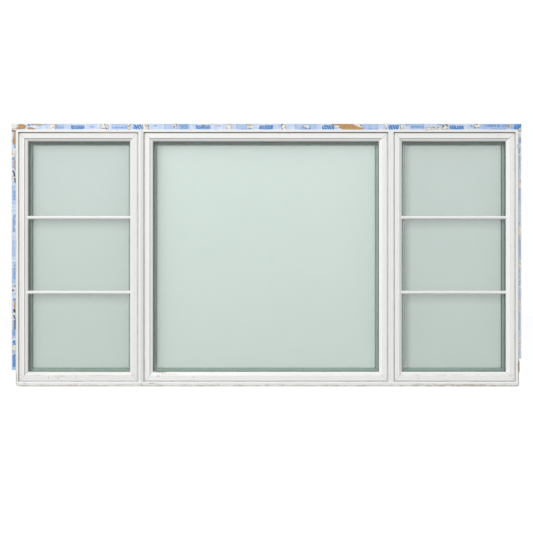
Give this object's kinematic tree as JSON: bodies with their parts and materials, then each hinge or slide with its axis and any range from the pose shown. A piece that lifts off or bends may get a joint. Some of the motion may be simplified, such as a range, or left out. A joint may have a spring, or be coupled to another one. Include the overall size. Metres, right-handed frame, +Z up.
{
  "type": "mulled three-light window",
  "caption": "Wide white picture window joined between two narrower barred side lights, double glazed, with nailing fins and old flashing tape.",
  "frame": {"origin": "on the back face of the head nailing fin, halfway along the window and halfway up the fin", "axes": "+X to the right seen from outside, +Y into the room, +Z up"},
  "size_m": [2.491, 0.1456, 1.279],
  "materials": {
    "white_cladding": "satin white vinyl skin, dusty and stained at the sill",
    "white_sash": "satin white, brushed marks and brown stains on the bottom rails",
    "painted_wood": "white paint on pine, raw pine on the buried sides",
    "pale_green_glass": "double glazing, pale green and cloudy",
    "spacer_metal": "dull mill finish",
    "dark_seal": "matt",
    "fin_vinyl": "plain vinyl",
    "flashing_tape": "wrinkled printed film, torn"
  },
  "bodies": {
    "root": {"left_head": "white_cladding", "left_sill": "white_cladding", "left_left_jamb": "white_cladding", "left_right_jamb": "white_cladding", "left_wood_frame": "painted_wood", "left_sash_top_rail": "white_sash", "left_sash_bottom_rail": "white_sash", "left_sash_left_stile": "white_sash", "left_sash_right_stile": "white_sash", "left_inner_stops": "painted_wood", "left_panes": "pale_green_glass", "left_glazing_bars": "white_sash", "centre_head": "white_cladding", "centre_sill": "white_cladding", "centre_left_jamb": "white_cladding", "centre_right_jamb": "white_cladding", "centre_wood_frame": "painted_wood", "centre_sash_top_rail": "white_sash", "centre_sash_bottom_rail": "white_sash", "centre_sash_left_stile": "white_sash", "centre_sash_right_stile": "white_sash", "centre_inner_stops": "painted_wood", "centre_panes": "pale_green_glass", "right_head": "white_cladding", "right_sill": "white_cladding", "right_left_jamb": "white_cladding", "right_right_jamb": "white_cladding", "right_wood_frame": "painted_wood", "right_sash_top_rail": "white_sash", "right_sash_bottom_rail": "white_sash", "right_sash_left_stile": "white_sash", "right_sash_right_stile": "white_sash", "right_inner_stops": "painted_wood", "right_panes": "pale_green_glass", "right_glazing_bars": "white_sash", "glass_spacers": "spacer_metal", "glazing_seals": "dark_seal", "head_fin": "fin_vinyl", "left_fin": "fin_vinyl", "right_fin": "fin_vinyl", "head_tape": "flashing_tape", "left_tape": "flashing_tape", "right_tape": "flashing_tape"}
  },
  "joints": []
}
